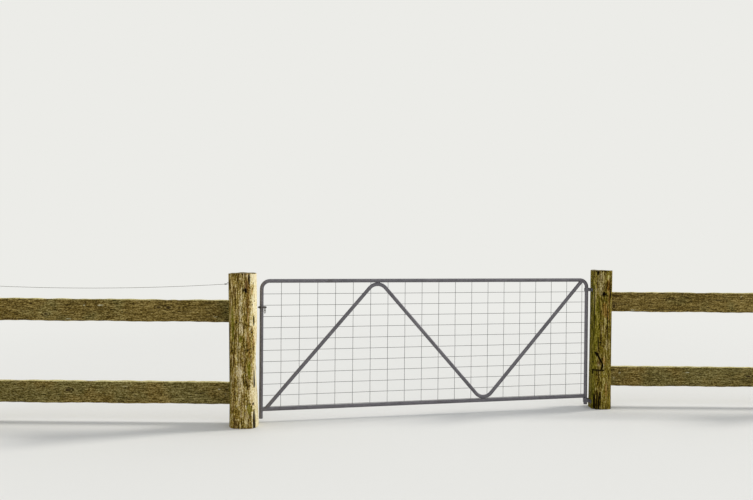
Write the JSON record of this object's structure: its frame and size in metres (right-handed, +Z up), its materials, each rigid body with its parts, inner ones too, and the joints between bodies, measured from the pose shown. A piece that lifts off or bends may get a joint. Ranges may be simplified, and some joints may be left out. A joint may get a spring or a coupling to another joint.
{
  "type": "field gate",
  "caption": "Galvanised tube field gate with a bent N brace and welded mesh, hung between weathered timber posts with a bay of two-board fence each side",
  "frame": {"origin": "middle of the hinge post's foot, at ground level", "axes": "+X runs along the fences to the right as seen from the lane, +Y away from the lane, +Z up"},
  "size_m": [8.418, 1.0428, 1.343],
  "materials": {
    "post_timber": "weathered grey-brown round timber with splits and green stain",
    "board_timber": "weathered sawn board",
    "galvanised_tube": "dull hot-dip zinc",
    "mesh_wire": "dull zinc-coated wire",
    "plain_wire": "old zinc-coated wire",
    "hinge_steel": "dull zinc-coated strap",
    "chain_steel": "dull zinc-coated chain"
  },
  "bodies": {
    "fence": {"hinge_post": "post_timber", "latch_post": "post_timber", "left_fence_post": "post_timber", "right_fence_post": "post_timber", "left_upper_board": "board_timber", "left_lower_board": "board_timber", "right_upper_board": "board_timber", "right_lower_board": "board_timber", "strand_wire": "plain_wire", "upper_hinge_strap": "hinge_steel", "lower_hinge_strap": "hinge_steel", "upper_hinge_screws": "hinge_steel", "lower_hinge_screws": "hinge_steel", "chain_keeper": "chain_steel"},
    "leaf": {"frame_hoop": "galvanised_tube", "bottom_rail": "galvanised_tube", "n_brace": "galvanised_tube", "wire_mesh": "mesh_wire", "hinge_collar": "hinge_steel", "chain_loop": "chain_steel", "chain_tail": "chain_steel"}
  },
  "joints": [
    {"name": "gate_swing", "type": "hinge", "parent": "fence", "child": "leaf", "pos_m": [-0.13635, 0, 0.1], "axis": [0, 0, 1], "range_deg": [-95, 90]}
  ]
}
